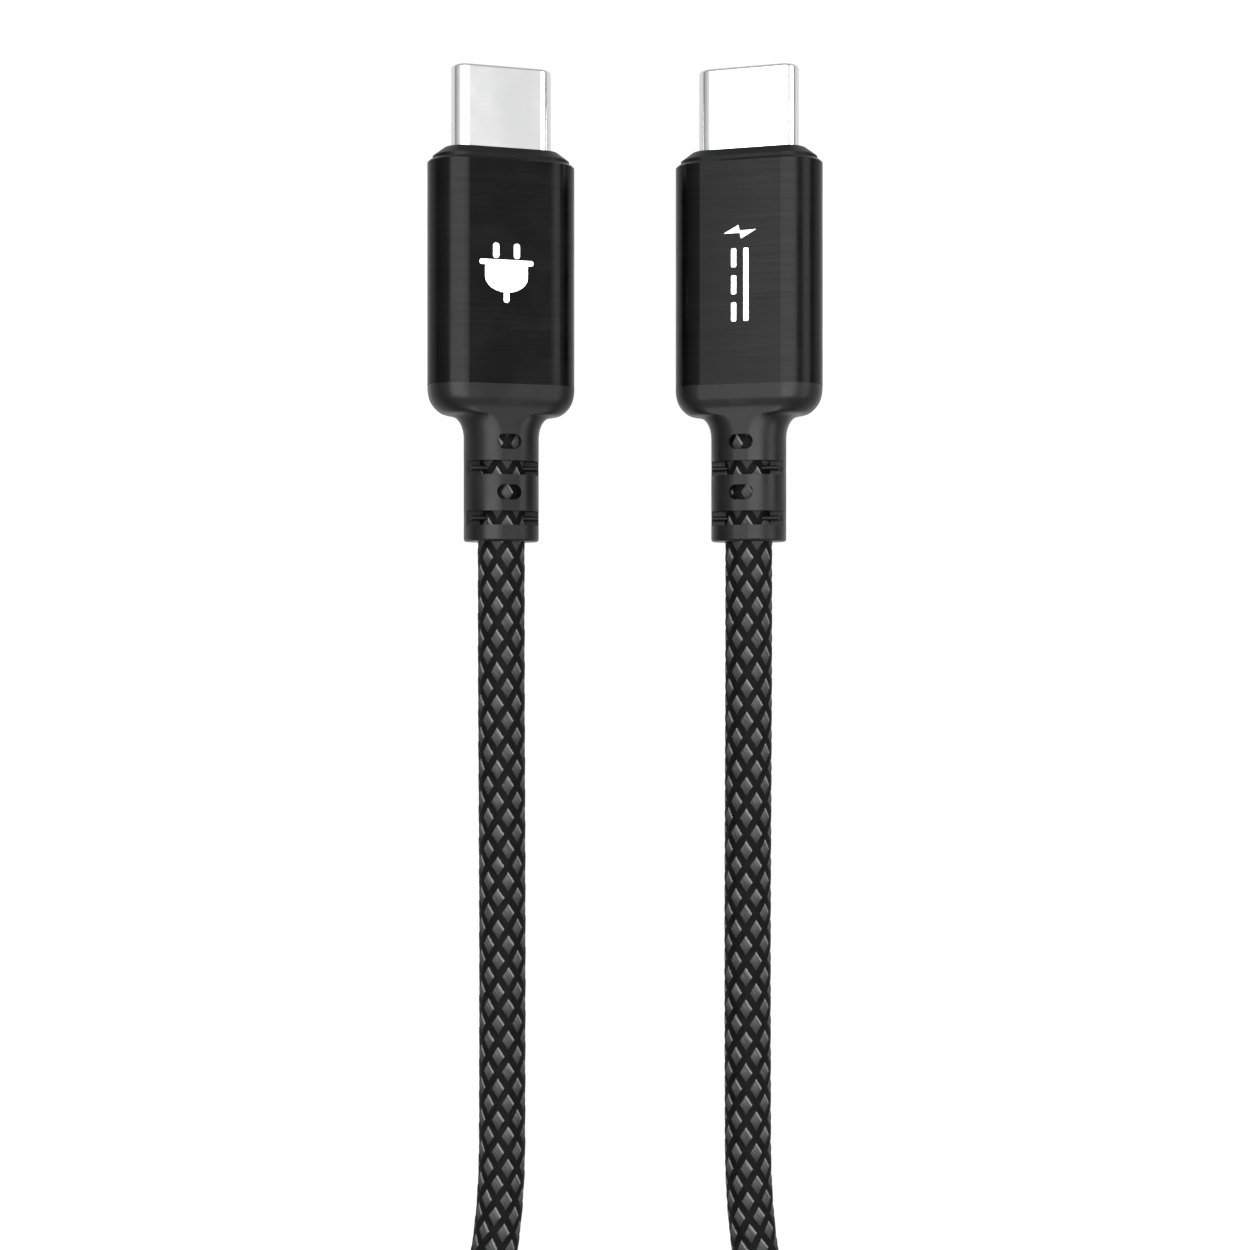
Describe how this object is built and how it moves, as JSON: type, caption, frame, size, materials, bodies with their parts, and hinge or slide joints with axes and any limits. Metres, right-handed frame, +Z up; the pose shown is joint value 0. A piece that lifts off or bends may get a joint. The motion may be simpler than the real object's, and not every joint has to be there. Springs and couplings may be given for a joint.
{
  "type": "charging cable",
  "caption": "Braided charging cable with two reversible plugs, metal sleeves and slotted strain reliefs, its spare length tied in a hank.",
  "frame": {"origin": "on the table, under the middle of the pair of plugs", "axes": "+Y along the plugs towards their mouths, +X across the pair, +Z up from the table"},
  "size_m": [0.0396, 0.1913, 0.0128],
  "materials": {
    "shell_steel": "polished nickel-plated stainless steel",
    "sleeve_aluminium": "black anodised, finely brushed across the width",
    "nose_plastic": "satin black",
    "boot_plastic": "satin black thermoplastic elastomer",
    "black_plastic": "black liquid crystal polymer",
    "inner_plastic": "natural polypropylene",
    "contact_gold": "gold-plated copper alloy",
    "spring_steel": "bright spring steel",
    "can_steel": "tinned steel",
    "ferrule_steel": "crimped steel",
    "card_laminate": "green solder mask",
    "chip_epoxy": "moulded epoxy",
    "passive_ceramic": "ceramic with tinned ends",
    "power_insulation": "red insulation",
    "signal_insulation": "pale insulation",
    "cord_braid": "black and grey polyester braid",
    "tie_fabric": "black hook-and-loop"
  },
  "bodies": {
    "root": {"shell_a": "shell_steel", "contact_housing_a": "black_plastic", "contacts_upper_a": "contact_gold", "contacts_lower_a": "contact_gold", "latch_plate_a": "spring_steel", "ground_springs_a": "spring_steel", "circuit_card_a": "card_laminate", "marker_chip_a": "chip_epoxy", "card_passives_a": "passive_ceramic", "shield_can_upper_a": "can_steel", "shield_can_lower_a": "can_steel", "power_wires_a": "power_insulation", "signal_wires_a": "signal_insulation", "inner_mould_a": "inner_plastic", "crimp_ferrule_a": "ferrule_steel", "sleeve_a": "sleeve_aluminium", "nose_a": "nose_plastic", "boot_a": "boot_plastic", "cable_end_a": "cord_braid", "cord_lead_a": "cord_braid", "shell_b": "shell_steel", "contact_housing_b": "black_plastic", "contacts_upper_b": "contact_gold", "contacts_lower_b": "contact_gold", "latch_plate_b": "spring_steel", "ground_springs_b": "spring_steel", "circuit_card_b": "card_laminate", "marker_chip_b": "chip_epoxy", "card_passives_b": "passive_ceramic", "shield_can_upper_b": "can_steel", "shield_can_lower_b": "can_steel", "power_wires_b": "power_insulation", "signal_wires_b": "signal_insulation", "inner_mould_b": "inner_plastic", "crimp_ferrule_b": "ferrule_steel", "sleeve_b": "sleeve_aluminium", "nose_b": "nose_plastic", "boot_b": "boot_plastic", "cable_end_b": "cord_braid", "cord_lead_b": "cord_braid", "cord_hank": "cord_braid", "cable_tie": "tie_fabric"}
  },
  "joints": []
}
